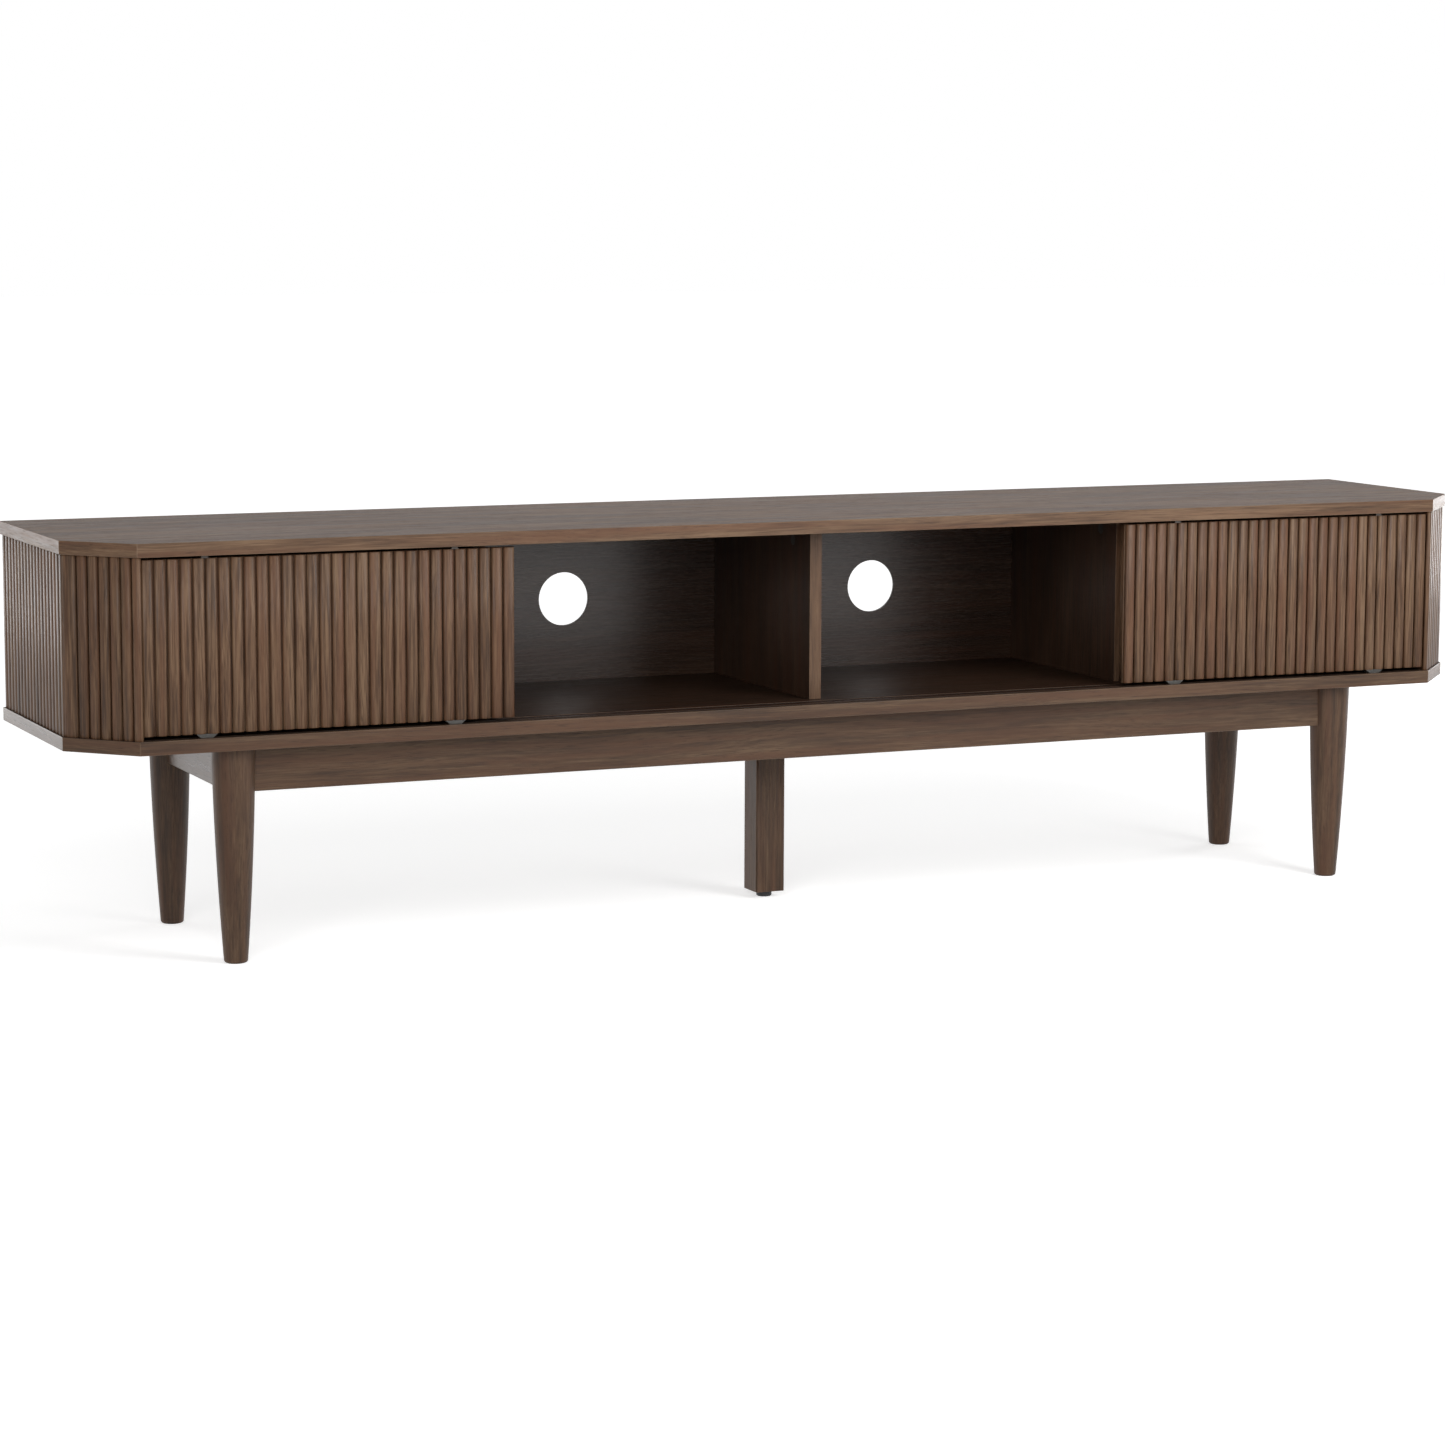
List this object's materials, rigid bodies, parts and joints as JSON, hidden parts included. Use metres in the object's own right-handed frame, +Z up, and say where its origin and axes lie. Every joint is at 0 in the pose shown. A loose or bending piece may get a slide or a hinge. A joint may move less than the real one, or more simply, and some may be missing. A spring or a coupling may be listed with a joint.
{
  "type": "media cabinet",
  "caption": "Long low media cabinet with cut-off front corners, slatted ends and sliding slatted doors, open middle bays and a frame of round tapered legs.",
  "frame": {"origin": "on the floor, below the middle of the cabinet", "axes": "+Z up, +X to the right along the front, -Y is the front"},
  "size_m": [2.1, 0.4, 0.555],
  "materials": {
    "stained_wood": "walnut stain under satin lacquer",
    "dark_wood": "walnut stain, matt",
    "plain_wood": "bare",
    "steel": "zinc plated",
    "zinc": "die-cast",
    "clear_plastic": "translucent",
    "dark_plastic": "matt",
    "black_plastic": "matt"
  },
  "bodies": {
    "case": {"back_left_leg": "stained_wood", "back_panel_left": "dark_wood", "back_panel_right": "dark_wood", "back_panel_screws": "steel", "back_rail": "stained_wood", "back_right_leg": "stained_wood", "bottom_panel": "stained_wood", "bottom_screws": "steel", "cam_bolts": "steel", "cam_caps": "dark_plastic", "cam_locks": "zinc", "carcass_dowels": "plain_wood", "centre_divider": "dark_wood", "centre_foot_insert": "steel", "centre_leg": "stained_wood", "centre_leg_screws": "steel", "centre_rail": "stained_wood", "frame_dowels": "plain_wood", "frame_screws": "steel", "front_left_leg": "stained_wood", "front_rail": "stained_wood", "front_right_leg": "stained_wood", "left_corner_backing": "stained_wood", "left_corner_slats": "stained_wood", "left_end_backing": "stained_wood", "left_end_slats": "stained_wood", "left_partition": "dark_wood", "left_side_rail": "stained_wood", "right_corner_backing": "stained_wood", "right_corner_slats": "stained_wood", "right_end_backing": "stained_wood", "right_end_slats": "stained_wood", "right_partition": "dark_wood", "right_side_rail": "stained_wood", "top_panel": "stained_wood"},
    "left_door": {"left_door_backing": "stained_wood", "left_door_bottom_glides": "clear_plastic", "left_door_slats": "stained_wood", "left_door_top_guides": "clear_plastic"},
    "right_door": {"right_door_backing": "stained_wood", "right_door_bottom_glides": "clear_plastic", "right_door_slats": "stained_wood", "right_door_top_guides": "clear_plastic"},
    "foot_stud": {"centre_foot_stud": "steel"},
    "foot_pad": {"centre_foot_pad": "black_plastic"}
  },
  "joints": [
    {"name": "left_door_slide", "type": "slide", "parent": "case", "child": "left_door", "axis": [1, 0, 0], "range_m": [0, 0.459]},
    {"name": "right_door_slide", "type": "slide", "parent": "case", "child": "right_door", "axis": [-1, 0, 0], "range_m": [0, 0.459]},
    {"name": "foot_height", "type": "slide", "parent": "case", "child": "foot_stud", "axis": [0, 0, -1], "range_m": [0, 0.01]},
    {"name": "foot_turn", "type": "hinge", "parent": "foot_stud", "child": "foot_pad", "pos_m": [0, 0.02, 0], "axis": [0, 0, 1], "range_deg": [0, 2880]}
  ],
  "couplings": [
    {"joint": "foot_height", "follows": "foot_turn", "m_per_rad": 0.00019894}
  ]
}
